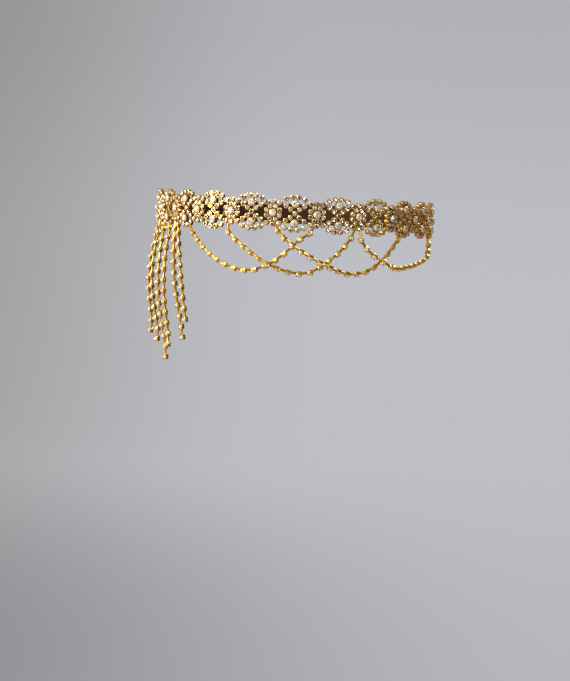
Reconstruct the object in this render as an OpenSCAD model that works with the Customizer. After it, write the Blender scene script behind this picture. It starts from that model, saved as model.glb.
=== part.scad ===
// Headband: openwork stone trim, four swags and a tassel of cup chain, and a woven strap behind.
// +Z is up, the front faces -Y, and the origin is the middle of the head loop at the trim's
// mid-height. The tassel hangs on the -X side. "Along" is the distance round the loop from its
// front, to +X, and "out" is the distance from the loop outwards.

/* [Head loop] */
// Half the width of the loop, from side to side
loop_half_w = 78; // [76:1:84]
// Half the length of the loop, from front to back
loop_half_l = 97; // [92:1:104]
// Radius of the front arc and of the back arc
front_r = 70; // [62:1:72]

/* [Trim] */
// Distance from one stack of two flowers to the next
repeat_w = 24; // [24:0.5:26]
// Number of repeats, each a stack and an eye, in each section of the trim
repeats_per_section = 2; // [1:1:2]
// Half the height of an eye, to the middle of its rim cups
eye_half_h = 6.2; // [6.2:0.1:6.5]
// How quickly the rim of an eye opens from its tip: a lower value is fuller
rim_fullness = 0.9; // [0.85:0.01:0.95]
// Height of a stack's big stones above and below the middle
big_stone_up = 5.4; // [5.4:0.1:5.6]
// Radius of the ring of small cups round an eye's big stone
eye_ring_r = 3.8; // [3.76:0.01:3.8]

/* [Cups] */
// Radius of a small cup of the trim
small_cup_r = 1.4; // [1.3:0.02:1.4]
// Height of a small cup of the trim
small_cup_h = 2.2; // [2:0.1:2.6]
// Radius of a big cup of the trim
big_cup_r = 2.35; // [2.2:0.05:2.35]
// Height of a big cup of the trim
big_cup_h = 3; // [2.8:0.1:3.4]
// Radius of a cup of the chain
chain_cup_r = 1.65; // [1.5:0.05:1.7]
// Height of a cup of the chain
chain_cup_h = 2.6; // [2.4:0.1:2.8]
// Width of the bars between the trim's cups
trim_bar_w = 0.6; // [0.5:0.05:0.7]
// Thickness of the cups' walls
cup_wall = 0.26; // [0.22:0.01:0.28]
// Clearance between a stone and its cup
stone_gap = 0.11; // [0.1:0.01:0.14]

/* [Chain] */
// Distance from one cup of the chain to the next
chain_pitch = 6.05; // [5.8:0.05:6.4]
// Width of the bars between the chain's cups
bar_w = 1.1; // [0.8:0.05:1.2]
// Wire radius of the rings that the swags hang from
wire_r = 0.22; // [0.2:0.01:0.24]
// Radius of those rings, to the middle of the wire
ring_r = 1.1; // [1.08:0.01:1.12]

/* [Strap] */
// Height of the strap
strap_h = 12; // [8:1:16]
// Thickness of the strap
strap_t = 1.2; // [1:0.1:1.6]
// How far the strap reaches under the trim at each end
strap_lap = 11; // [6:1:16]

/* [Hidden] */
$fn = 24;
sections = 6;
repeats = sections * repeats_per_section;
gold = "#d9a630";
stone_colour = "#f3eee4";
strap_colour = "#593d21";

// The loop is four arcs: the side arcs' radius and the arcs' centres follow from its three sizes
front_c = loop_half_l - front_r;
side_r = (loop_half_w ^ 2 + front_c ^ 2 - front_r ^ 2) / (2 * (loop_half_w - front_r));
side_c = side_r - loop_half_w;
front_turn = atan2(side_c, front_c);
front_len = front_r * front_turn * PI / 180;

// Bars, discs and cup floors: how far out they start, how thick they are, and how far the bars
// reach into a cup
bar_up = 0.25;
bar_t = 0.6;
bar_in = 0.28;
disc_up = 0.35;
disc_t = 0.4;
floor_up = 0.95;
lip_h = 0.6;

// Shares of half an eye at which its rim cups lie, from the tip to the middle
rim_shares = [0.2, 0.42, 0.71, 1];
rim_last = len(rim_shares) - 1;
// Caps round the outer side of a stack's big stone: along and up from that stone
caps = [[1.75, 3.6], [5.3, 2.5]];
disc_r = eye_ring_r + 0.2;

// Each end of a swag hangs from a ring round a bar of the trim: the ring's middle is ring_drop
// below the bar's
ring_drop = 0.4;

// How far out a chain's bars start from its cups' feet, and how thick they are
chain_bar_up = 0.2;
chain_bar_t = 0.6;

// A chain's clearance from the loop, the gap at a soldered end, the half width of a swag's lifts,
// the steps in which a swag's length is measured, and the strap's clearance
chain_clear = 0.2;
solder_gap = 0.3;
lift_w = 8;
swag_steps = 160;
strap_gap = 0.2;

// Swags, from the tassel's side. Each end hangs from the trim's low edge, from the bar between a
// rim cup of an eye or a cap of a stack and the next one. A swag that passes over another is
// lifted there.
// columns: cups, start [kind, which one, which cup], end, cups' shift to the start, turn of the
// stones down, lifts [along, height], route between the ends [along, up]
swags = [
    [15, ["cap", 3, 1], ["eye", 6, -1], -1.3, 75, [],
        [[-61.2, -14.1], [-51.8, -21.4], [-41.5, -27.3], [-31.3, -30.9], [-21.2, -31],
            [-12.6, -27.4], [-4.8, -21.2], [2.2, -14], [7.9, -10.1]]],
    [15, ["eye", 4, -1], ["eye", 7, -1], 0, 62, [[-13, 4.1]],
        [[-37.1, -11], [-28.3, -17.9], [-18.4, -24.2], [-8.6, -29.2], [1.1, -31.8], [9.6, -31],
            [17.7, -25.6], [25.6, -18.7], [31.4, -11.9]]],
    [16, ["eye", 5, 0], ["cap", 9, -2], 0, 58, [[0, 5.4], [17, 4.1]],
        [[-7.3, -10.8], [1.1, -17.7], [10.5, -23.4], [20.3, -28.1], [31.1, -30.9],
            [41.7, -29.3], [51.5, -23.8], [59.4, -16.9], [65.3, -11.6]]],
    [15, ["eye", 7, 0], ["cap", 11, -2], 0, 58, [[53, 4.1], [103, 1.8]],
        [[38.6, -12.6], [45, -19.6], [54, -24.6], [65, -26.8], [77, -25.8], [90, -23.8],
            [102, -20.4], [111, -15]]]
];

// Tassel strands, from the face backwards, each soldered under a rim cup of an eye or a cap
// columns: cups, start [kind, which one, which cup], distance to the first cup, distance on to the
// second, bulge out, shift of the lower end along X and along Y, turn of the stones to the front
strands = [
    [10, ["eye", 2, 1], 3.6, 4.8, 0, 6.5, -1, 12],
    [11, ["eye", 2, 0], 6.05, 6.05, 2, 6.5, 2, 34],
    [12, ["cap", 2, 2], 3.6, 5.3, 3.5, 1.5, 0, 10],
    [13, ["cap", 2, -2], 4.4, 6.05, 4, 3.5, -1, 42],
    [12, ["eye", 1, 0], 4, 4.5, 5, 0, 1, 30],
    [11, ["cap", 1, 1], 3.9, 3.7, 4, -2, 3, 14]
];

// Heading of the loop's outward side, in degrees from -Y to +X, at a distance along
function heading(along) = abs(along) <= front_len
    ? along / front_r * 180 / PI
    : sign(along) * (front_turn + (abs(along) - front_len) / side_r * 180 / PI);

function outward(along) = [sin(heading(along)), -cos(heading(along)), 0];

// A point of the trim or a chain: along the loop, up, and out from it
function loop_point(along, up, out = 0) = abs(along) <= front_len
    ? [0, -front_c, up] + (front_r + out) * outward(along)
    : [-sign(along) * side_c, 0, up] + (side_r + out) * outward(along);

function unit(v) = v / norm(v);

// Lays a shape at a point with its X axis along one direction and its Z axis near another
module lay(point, ahead, face) {
    x = unit(ahead);
    y = unit(cross(face, x));
    z = cross(x, y);
    multmatrix([
        [x[0], y[0], z[0], point[0]],
        [x[1], y[1], z[1], point[1]],
        [x[2], y[2], z[2], point[2]]
    ]) children();
}

// Lays a shape on the loop: its X runs along, its Y up and its Z out
module on_loop(along, up) {
    translate(loop_point(along, up)) rotate([0, 0, heading(along)]) rotate([90, 0, 0]) children();
}

// A round cup: a floor, and a thin wall that tapers to its lip
module cup(r, h) {
    rotate_extrude() polygon([
        [0, 0],
        [r, 0],
        [r, h - lip_h],
        [r - cup_wall, h],
        [r - cup_wall, floor_up],
        [0, floor_up]
    ]);
}

// The same cup with its wall cut into four claws
module claw_cup(r, h) {
    slot_w = 0.75 * r;
    slot_h = h - lip_h - 0.3;
    difference() {
        cup(r, h);
        for (turn = [0, 90]) {
            rotate([0, 0, turn]) translate([-r - 1, -slot_w / 2, slot_h]) cube([2 * r + 2, slot_w, h]);
        }
    }
}

// A cut stone: a flat table, bands of facets down to the girdle, and a pointed back
// rings holds each ring's radius and height, from the table to the girdle
module cut_stone(rings, sides, back_h) {
    step = 360 / sides;
    last = len(rings) - 1;
    points = concat(
        [for (j = [0:last]) for (i = [0:sides - 1]) let (a = (i + (j % 2 == 0 ? 0.5 : 0)) * step)
            [rings[j][0] * cos(a), rings[j][0] * sin(a), rings[j][1]]],
        [[0, 0, rings[last][1] - back_h]]
    );
    function at(j, i) = j * sides + (i + sides) % sides;
    table = [[for (i = [sides - 1:-1:0]) i]];
    bands = [for (j = [0:1:last - 1]) for (i = [0:sides - 1]) each j % 2 == 0
        ? [[at(j, i), at(j + 1, i + 1), at(j + 1, i)], [at(j, i), at(j, i + 1), at(j + 1, i + 1)]]
        : [[at(j, i), at(j, i + 1), at(j + 1, i)], [at(j, i + 1), at(j + 1, i + 1), at(j + 1, i)]]];
    back = [for (i = [0:sides - 1]) [at(last, i), at(last, i + 1), len(points) - 1]];
    color(stone_colour) polyhedron(points, concat(table, bands, back));
}

// The big stone of the trim, at its height above its cup's foot
module big_stone() {
    r = big_cup_r - cup_wall - stone_gap;
    girdle = big_cup_h - lip_h - 0.15;
    cut_stone([[0.55 * r, girdle + 0.9], [0.84 * r, girdle + 0.55], [r, girdle]], 12, 1.1);
}

// The stone of a chain cup
module chain_stone() {
    r = chain_cup_r - cup_wall - stone_gap;
    girdle = chain_cup_h - lip_h - 0.1;
    cut_stone([[0.6 * r, girdle + 0.6], [r, girdle]], 8, 0.8);
}

// Places of the trim, each as [along, up]
function stack_at(k) = (k - repeats / 2) * repeat_w;
function eye_at(k) = stack_at(k) + repeat_w / 2;
function rim_share(i) = rim_shares[rim_last - abs(i)];
function rim_up(share) = eye_half_h * sin(90 * share ^ rim_fullness);
function rim_place(k, i, side) =
    [eye_at(k) + sign(i) * (1 - rim_share(i)) * repeat_w / 2, side * rim_up(rim_share(i))];
function big_place(k, side) = [stack_at(k), side * big_stone_up];
function cap_place(k, i, side) = let (c = caps[abs(i) - 1])
    [stack_at(k) + sign(i) * c[0], side * (big_stone_up + c[1])];
function ring_place(k, i) =
    [eye_at(k) + eye_ring_r * cos(45 * i + 22.5), eye_ring_r * sin(45 * i + 22.5)];

// A low cup, given as [kind, which eye or stack, which cup of it], and the one after it
function low_cup(h) = h[0] == "eye" ? rim_place(h[1], h[2], -1) : cap_place(h[1], h[2], -1);
function next_cup(h) = low_cup([h[0], h[1], h[0] == "cap" && h[2] == -1 ? 1 : h[2] + 1]);
function bar_middle(h) = (low_cup(h) + next_cup(h)) / 2;

module small_cup_on(place) {
    on_loop(place[0], place[1]) cup(small_cup_r, small_cup_h);
}

// A bar of the trim from one cup to another, let a little into both
module trim_bar(from, to, from_r = small_cup_r, to_r = small_cup_r) {
    p = loop_point(from[0], from[1], bar_up);
    q = loop_point(to[0], to[1], bar_up);
    face = outward((from[0] + to[0]) / 2);
    start = from_r - bar_in;
    length = norm(q - p) - start - to_r + bar_in;
    lay(p, q - p, face) translate([start, -trim_bar_w / 2, 0]) cube([length, trim_bar_w, bar_t]);
}

// A stack: two big cups, four caps round each, a small cup in the middle, and their bars
module stack(k) {
    small_cup_on([stack_at(k), 0]);
    for (side = [-1, 1]) {
        place = big_place(k, side);
        trim_bar(place, [stack_at(k), 0], big_cup_r);
        on_loop(place[0], place[1]) claw_cup(big_cup_r, big_cup_h);
        for (i = [-2, -1, 1, 2]) {
            small_cup_on(cap_place(k, i, side));
        }
        trim_bar(cap_place(k, -1, side), cap_place(k, 1, side));
        for (i = [-1, 1]) {
            trim_bar(cap_place(k, i, side), cap_place(k, 2 * i, side));
            trim_bar(place, cap_place(k, i, side), big_cup_r);
        }
    }
}

// The flower of an eye: a disc with a big cup and a ring of small cups
module eye_flower(k) {
    on_loop(eye_at(k), 0) {
        translate([0, 0, disc_up]) cylinder(r = disc_r, h = disc_t);
        claw_cup(big_cup_r, big_cup_h);
    }
    for (i = [0:7]) {
        small_cup_on(ring_place(k, i));
    }
    for (side = [-1, 1]) {
        trim_bar([eye_at(k), 0], rim_place(k, 0, side), disc_r);
    }
}

// The rim cups of an eye from one place to another, with the bars between them
module eye_rim(k, first, last) {
    for (side = [-1, 1]) {
        for (i = [first:last]) {
            small_cup_on(rim_place(k, i, side));
        }
        for (i = [first:1:last - 1]) {
            trim_bar(rim_place(k, i, side), rim_place(k, i + 1, side));
        }
    }
}

// Bars that join a stack to the eye on one side of it
module stack_to_eye(k, way) {
    eye = way > 0 ? k : k - 1;
    for (side = [-1, 1]) {
        trim_bar([stack_at(k), 0], rim_place(eye, -way * rim_last, side));
        trim_bar(big_place(k, side), rim_place(eye, -way * rim_last, side), big_cup_r);
        trim_bar(cap_place(k, 2 * way, side), rim_place(eye, -way * (rim_last - 1), side));
    }
}

module wire_ring(r) {
    rotate_extrude() translate([r, 0]) circle(r = wire_r);
}

// A section of the trim: its repeats, and the outer half of the end stacks
module trim_section(n) {
    first = n * repeats_per_section;
    last = first + repeats_per_section - 1;
    last_stack = n == sections - 1 ? last + 1 : last;
    color(gold) union() {
        for (k = [first:last]) {
            eye_flower(k);
            eye_rim(k, -rim_last, rim_last);
        }
        if (n == 0) {
            eye_rim(-1, rim_last - 1, rim_last);
        }
        if (n == sections - 1) {
            eye_rim(repeats, -rim_last, 1 - rim_last);
        }
        for (k = [first:last_stack]) {
            stack(k);
            if (k > first || n == 0) {
                stack_to_eye(k, -1);
            }
            stack_to_eye(k, 1);
        }
    }
}

// Chains. A swag's route runs from ring to ring through its table's points, u from one to the next
function spline(points, u) = let (
    last = len(points) - 1,
    i = min(floor(u), last - 1),
    t = u - i,
    a = points[max(i - 1, 0)],
    b = points[i],
    c = points[i + 1],
    d = points[min(i + 2, last)]
) b + t / 2 * (c - a + t * (2 * a - 5 * b + 4 * c - d + t * (3 * b - a - 3 * c + d)));

// How far out a swag is lifted where it passes over another: a hump for each lift, added up
function lift(lifts, along, i = 0) = i == len(lifts) ? 0
    : lifts[i][1] * exp(-(((along - lifts[i][0]) / lift_w) ^ 2)) + lift(lifts, along, i + 1);

function swag_spans(s) = len(s[6]) + 1;
function swag_hung(s, u) = max(sin(180 * u / swag_spans(s)), 0) ^ 0.5;
function swag_turn(s, u) = s[4] * swag_hung(s, u);

function swag_point(s, u) = let (
    place = spline(concat([bar_middle(s[1])], s[6], [bar_middle(s[2])]), u),
    hung = swag_hung(s, u),
    free = chain_clear + chain_cup_r * sin(swag_turn(s, u)) + lift(s[5], place[0])
) loop_point(place[0], place[1], (bar_up + bar_t / 2) * (1 - hung) + free * hung);

// The stones' facing: out from the loop, turned down and away from the inside of the swag
function swag_face(s, u) = let (
    ahead = unit(swag_point(s, min(u + 0.05, swag_spans(s))) - swag_point(s, max(u - 0.05, 0))),
    p = swag_point(s, u),
    out = unit(p - [0, p[1] * front_c / loop_half_l, p[2]]),
    inside = unit(cross(out, ahead))
) cos(swag_turn(s, u)) * out - sin(swag_turn(s, u)) * inside;

// The length along a swag at each step of u, as rows of [length, u]
function swag_lengths(s) = let (
    step = swag_spans(s) / swag_steps,
    points = [for (j = [0:swag_steps]) swag_point(s, j * step)]
) [for (j = 0, run = 0; j <= swag_steps; j = j + 1,
    run = run + (j > swag_steps ? 0 : norm(points[j] - points[j - 1]))) [run, j * step]];

// The u of each cup, a pitch apart, with what is left over shared between the ends
function swag_stops(s) = let (
    lengths = swag_lengths(s),
    lead = (lengths[swag_steps][0] - (s[0] - 1) * chain_pitch) / 2 - s[3]
) [for (i = [0:s[0] - 1]) lookup(lead + i * chain_pitch, lengths)];

swag_routes = [for (s = swags) let (stops = swag_stops(s))
    [[for (u = stops) swag_point(s, u)], [for (u = stops) swag_face(s, u)]]];

// A strand's stops are its cups' distances down from the cup that it is soldered under
function strand_stops(s) =
    [for (i = [0:s[0] - 1]) s[2] + (i == 0 ? 0 : s[3] + (i - 1) * chain_pitch)];
function strand_len(s) = s[2] + s[3] + (s[0] - 2) * chain_pitch;

function strand_point(s, at) = let (
    from = low_cup(s[1]),
    share = at / strand_len(s)
) loop_point(from[0], from[1] - at, chain_clear)
    + s[4] * sin(180 * min(share * 1.1, 1)) * outward(from[0])
    + share ^ 1.6 * [s[5], s[6], 0];

function strand_face(s, at) = let (
    turn = heading(low_cup(s[1])[0]) + s[7] * min(at / strand_len(s) * 1.4, 1)
) [sin(turn), -cos(turn), 0];

strand_routes = [for (s = strands) let (stops = strand_stops(s))
    [[for (at = stops) strand_point(s, at)], [for (at = stops) strand_face(s, at)]]];

module chain_bar(p, q, face) {
    lay(p, q - p, face) translate([0, -bar_w / 2, chain_bar_up])
        cube([norm(q - p), bar_w, chain_bar_t]);
}

// A shape at each point of a chain, lengthwise along the chain, with its top to that point's facing
module along_chain(points, faces) {
    last = len(points) - 1;
    for (i = [0:last]) {
        ahead = points[min(i + 1, last)] - points[max(i - 1, 0)];
        lay(points[i], ahead, faces[i]) children();
    }
}

// The metal of a chain: its cups and the bars between them, soldered together
module cup_chain(route) {
    along_chain(route[0], route[1]) claw_cup(chain_cup_r, chain_cup_h);
    for (i = [0:len(route[0]) - 2]) {
        chain_bar(route[0][i], route[0][i + 1], route[1][i] + route[1][i + 1]);
    }
}

// The ring round a bar of the trim, and the bar from it to a swag's end cup
module end_ring(hook, cup_point, face) {
    middle = bar_middle(hook);
    bar = loop_point(middle[0], middle[1], bar_up + bar_t / 2);
    axis = loop_point(next_cup(hook)[0], next_cup(hook)[1])
        - loop_point(low_cup(hook)[0], low_cup(hook)[1]);
    down = unit(cross(axis, outward(middle[0])));
    lay(bar + ring_drop * down, down, axis) wire_ring(ring_r);
    far = bar + (ring_drop + ring_r) * down;
    chain_bar(far - (chain_bar_up + chain_bar_t / 2) * face, cup_point, face);
}

module swag(n) {
    s = swags[n];
    route = swag_routes[n];
    last = s[0] - 1;
    color(gold) union() {
        cup_chain(route);
        end_ring(s[1], route[0][0], route[1][0]);
        end_ring(s[2], route[0][last], route[1][last]);
    }
}

module tassel_strand(n) {
    s = strands[n];
    route = strand_routes[n];
    color(gold) union() {
        cup_chain(route);
        chain_bar(strand_point(s, small_cup_r + solder_gap), route[0][0], route[1][0]);
    }
}

// The stones of the swags and of the tassel, each loose in its cup
module swag_stones() {
    for (route = swag_routes) {
        along_chain(route[0], route[1]) chain_stone();
    }
}

module tassel_stones() {
    for (route = strand_routes) {
        along_chain(route[0], route[1]) chain_stone();
    }
}

// A point of the loop behind the front arc, by its heading: on a side arc or on the back arc
function back_point(turn, out) = let (
    way = turn <= 180 ? 1 : -1,
    middle = abs(180 - turn) > front_turn ? [-way * side_c, 0] : [0, front_c],
    r = abs(180 - turn) > front_turn ? side_r : front_r
) middle + (r + out) * [sin(turn), -cos(turn)];

// The strap: a flat woven band just inside the loop, from behind one end stack to the other
module strap() {
    steps = 72;
    start = heading(stack_at(repeats) + caps[1][0] + small_cup_r - strap_lap);
    turns = [for (i = [0:steps]) start + (360 - 2 * start) * i / steps];
    color(strap_colour) linear_extrude(strap_h, center = true) polygon(concat(
        [for (turn = turns) back_point(turn, -strap_gap)],
        [for (i = [steps:-1:0]) back_point(turns[i], -strap_gap - strap_t)]
    ));
}

module stack_stone(k, side) {
    on_loop(stack_at(k), side * big_stone_up) big_stone();
}

module eye_stone(k) {
    on_loop(eye_at(k), 0) big_stone();
}

for (i = [1:sections]) {
    trim_section(i - 1);
}
for (k = [0:repeats]) {
    stack_stone(k, 1);
    stack_stone(k, -1);
}
for (k = [0:repeats - 1]) {
    eye_stone(k);
}
for (i = [1:len(swags)]) {
    swag(i - 1);
}
for (i = [1:len(strands)]) {
    tassel_strand(i - 1);
}
swag_stones();
tassel_stones();
strap();
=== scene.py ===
import random
from bisect import bisect
from math import atan, atan2, cos, exp, floor, hypot, pi, radians, sin

import bmesh
import bpy
from mathutils import Matrix, Vector


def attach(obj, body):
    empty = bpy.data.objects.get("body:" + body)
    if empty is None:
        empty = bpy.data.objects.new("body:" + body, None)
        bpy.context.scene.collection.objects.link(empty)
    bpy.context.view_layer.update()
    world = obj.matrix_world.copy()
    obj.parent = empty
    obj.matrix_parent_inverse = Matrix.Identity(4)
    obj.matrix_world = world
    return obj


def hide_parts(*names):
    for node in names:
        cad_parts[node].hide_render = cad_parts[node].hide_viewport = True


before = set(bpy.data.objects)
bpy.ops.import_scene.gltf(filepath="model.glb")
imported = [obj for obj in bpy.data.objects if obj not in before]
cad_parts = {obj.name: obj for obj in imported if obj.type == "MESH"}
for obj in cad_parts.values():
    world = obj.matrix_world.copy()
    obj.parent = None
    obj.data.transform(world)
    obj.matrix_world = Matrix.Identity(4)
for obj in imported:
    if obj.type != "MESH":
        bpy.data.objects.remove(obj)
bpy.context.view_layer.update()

# Flapper headband: an openwork stone trim, four swags and a tassel of cup chain, and a woven strap.
# Shapes are modelled in millimetres, and each copy's matrix takes it to metres and to its place.
mm = 0.001
print("frame loaded")

# Camera

camera = {
    "distance": 1.75,  # metres in front of the loop's middle
    "sensor": 36,
    "lens": 159.07,
    "pixelsAhead": 3009,  # the lens in the frame's pixels
    "aimAcross": 3.36,  # from the loop's middle to the frame's middle, in pixels
    "aimDown": 127.05,
    "roll": 3,  # degrees
    "clip": (0.05, 60),
}


def makeCamera():
    bpy.ops.object.camera_add(location=(0, -camera["distance"], 0))
    eye = bpy.context.object
    eye.data.sensor_width = camera["sensor"]
    eye.data.lens = camera["lens"]
    eye.data.clip_start, eye.data.clip_end = camera["clip"]
    yaw = atan(camera["aimAcross"] / camera["pixelsAhead"])
    pitch = atan(camera["aimDown"] / camera["pixelsAhead"])
    ahead = Vector((-sin(yaw) * cos(pitch), cos(yaw) * cos(pitch), -sin(pitch)))
    right = ahead.cross(Vector((0, 0, 1))).normalized()
    up = right.cross(ahead)
    turn = radians(camera["roll"])
    right, up = right * cos(turn) + up * sin(turn), up * cos(turn) - right * sin(turn)
    axes = Matrix((right, up, -ahead)).transposed().to_4x4()
    eye.matrix_world = Matrix.Translation(eye.location) @ axes
    bpy.context.scene.camera = eye


makeCamera()
print("camera placed")

# Selecting and editing

facing = 0.9  # how much of a face's normal lies along an axis when it faces that way
crisp, gentle = 38, 60  # degrees between faces, up to which they are shaded as one


def selectOnly(*shapes):
    bpy.ops.object.select_all(action="DESELECT")
    for shape in shapes:
        shape.select_set(True)
    bpy.context.view_layer.objects.active = shapes[0]


def startEdit(shape):
    selectOnly(shape)
    bpy.ops.object.mode_set(mode="EDIT")
    bpy.ops.mesh.select_mode(type="FACE")


def endEdit():
    bpy.ops.object.mode_set(mode="OBJECT")


def pickFaces(shape, wanted):
    # Selects the faces whose middle and normal pass the test
    cage = bmesh.from_edit_mesh(shape.data)
    for face in cage.faces:
        face.select_set(bool(wanted(face.calc_center_median(), face.normal)))
    cage.select_flush_mode()
    bmesh.update_edit_mesh(shape.data)


def extrudeBy(x, y, z):
    bpy.ops.mesh.extrude_region_move(TRANSFORM_OT_translate={"value": (x, y, z)})


def scaleFlat(share):
    bpy.ops.transform.resize(value=(share, share, 1), center_override=(0, 0, 0))


def smoothShape(shape, angle=crisp):
    selectOnly(shape)
    bpy.ops.object.shade_smooth_by_angle(angle=radians(angle))


def newShape(name):
    # The primitive that was just added, with its place in its mesh
    bpy.ops.object.transform_apply()
    return namedShape(name)


def namedShape(name):
    shape = bpy.context.object
    shape.name = shape.data.name = name
    return shape


def markRise(shape, riseAt):
    # How far each point stands out of the openwork, from 0 at the back to 1 at the lips
    # The rise sets where the gold takes painted gap shade and painted highlight
    layer = shape.data.attributes.new("riseShare", "FLOAT", "POINT")
    layer.data.foreach_set("value", [riseAt(point.co) for point in shape.data.vertices])


# Node groups that the materials share


def newGroup(name, inputs, outputs):
    # The inputs and outputs by name, with what each carries
    group = bpy.data.node_groups.new(name, "ShaderNodeTree")
    for side, sockets in (("INPUT", inputs), ("OUTPUT", outputs)):
        for label, kind in sockets.items():
            group.interface.new_socket(label, in_out=side, socket_type="NodeSocket" + kind)
    return group, group.nodes.new("NodeGroupInput").outputs, group.nodes.new("NodeGroupOutput").inputs


def feed(tree, node, links):
    # Links or values for a node's numbered or named inputs
    for key, value in dict(links).items():
        if isinstance(value, bpy.types.NodeSocket):
            tree.links.new(value, node.inputs[key])
        else:
            node.inputs[key].default_value = value
    return node


def addNode(tree, kind, links=(), **settings):
    node = tree.nodes.new("ShaderNode" + kind)
    for key, value in settings.items():
        setattr(node, key, value)
    return feed(tree, node, links)


def addMath(tree, operation, *values, clamp=False):
    return addNode(tree, "Math", enumerate(values), operation=operation, use_clamp=clamp).outputs[0]


def addMix(tree, share, first, second):
    return addNode(tree, "Mix", {0: share, 6: first, 7: second}, data_type="RGBA").outputs[2]


def addProduct(tree, first, second):
    return addNode(tree, "VectorMath", {0: first, 1: second}, operation="MULTIPLY").outputs[0]


def addRange(tree, value, low, high, toLow=0.0, toHigh=1.0):
    links = {0: value, 1: low, 2: high, 3: toLow, 4: toHigh}
    return addNode(tree, "MapRange", links, interpolation_type="SMOOTHSTEP").outputs[0]


def addNoise(tree, place, scale, detail):
    return addNode(tree, "TexNoise", {"Vector": place, "Scale": scale, "Detail": detail}).outputs[0]


goldWearAndPaintedLight = {
    "cloudScale": 420,
    "cloudDetail": 3,
    "cloudShare": 0.3,  # how far the clouds shift the painted shade and highlight
    "lipFrom": 0.78,  # the rise at which the plate starts to take the painted highlight
    "lipTo": 1.02,  # and at which it is all painted highlight
    "cloudDull": 0.12,
    "gapDull": 0.22,
    "markDetail": 4,
}


def makeWornGoldWithPaintedLight():
    # Gold plate with painted shade that darkens it in the gaps and a painted highlight on what stands
    # out, finely marked
    group, given, made = newGroup(
        "wornGoldWithPaintedLight",
        {
            "Place": "Vector",
            "Rise": "Float",
            "Painted Gap Shade": "Color",
            "Plate Color": "Color",
            "Painted Lip Highlight": "Color",
            "Painted Shade Depth": "Float",
            "Mark Scale": "Float",
            "Plate Roughness": "Float",
        },
        {"Color": "Color", "Roughness": "Float", "Height": "Float"},
    )
    share = goldWearAndPaintedLight["cloudShare"]
    cloud = addNoise(group, given["Place"], goldWearAndPaintedLight["cloudScale"], goldWearAndPaintedLight["cloudDetail"])
    centred = addMath(group, "ADD", given["Rise"], -share / 2)
    unsteady = addMath(group, "MULTIPLY_ADD", cloud, share, centred)
    unshadedShare = addRange(group, unsteady, 0.0, given["Painted Shade Depth"])
    lip = addRange(group, unsteady, goldWearAndPaintedLight["lipFrom"], goldWearAndPaintedLight["lipTo"])
    # Painted shade: the gap colour darkens the plate where it sits low in the openwork
    shadedPlate = addMix(group, unshadedShare, given["Painted Gap Shade"], given["Plate Color"])
    # Painted highlight: the lip colour brightens what stands out
    group.links.new(addMix(group, lip, shadedPlate, given["Painted Lip Highlight"]), made["Color"])
    dull = addMath(group, "MULTIPLY_ADD", cloud, goldWearAndPaintedLight["cloudDull"], given["Plate Roughness"])
    deep = addMath(group, "MULTIPLY", addMath(group, "SUBTRACT", 1.0, unshadedShare), goldWearAndPaintedLight["gapDull"])
    group.links.new(addMath(group, "ADD", dull, deep, clamp=True), made["Roughness"])
    marks = addNoise(group, given["Place"], given["Mark Scale"], goldWearAndPaintedLight["markDetail"])
    group.links.new(marks, made["Height"])
    return group


stoneLight = {
    "darkest": 0.3,  # the part of the shade's share that is all dark
    "roughness": (0.05, 0.16),  # of the darkest facet and of the clearest
}


def makeStoneFire():
    # Painted light in each facet, as a foiled back would send it: painted shade, the stone's tint, or a
    # painted glint
    group, given, made = newGroup(
        "stoneFire",
        {
            "Facet": "Float",
            "Shade Color": "Color",
            "Tint Color": "Color",
            "Painted Glint Color": "Color",
            "Shade Share": "Float",
            "Painted Glint Share": "Float",
        },
        {"Color": "Color", "Roughness": "Float"},
    )
    deepest = addMath(group, "MULTIPLY", given["Shade Share"], stoneLight["darkest"])
    shaded = addRange(group, given["Facet"], deepest, given["Shade Share"])
    glinted = addRange(group, given["Facet"], given["Shade Share"], given["Painted Glint Share"])
    body = addMix(group, shaded, given["Shade Color"], given["Tint Color"])
    group.links.new(addMix(group, glinted, body, given["Painted Glint Color"]), made["Color"])
    rough = addRange(group, given["Facet"], 0.0, 1.0, *stoneLight["roughness"])
    group.links.new(rough, made["Roughness"])
    return group


weave = {
    "overShare": 0.35,  # how far a pick pushes the threads up and down
    "fuzzScale": 1.6,
    "fuzzDetail": 5,
    "fuzzShare": 0.5,
    "hollowTo": 0.1,  # the height up to which all is painted hollow shade
    "threadFrom": 0.85,  # and from which all is thread
}


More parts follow.
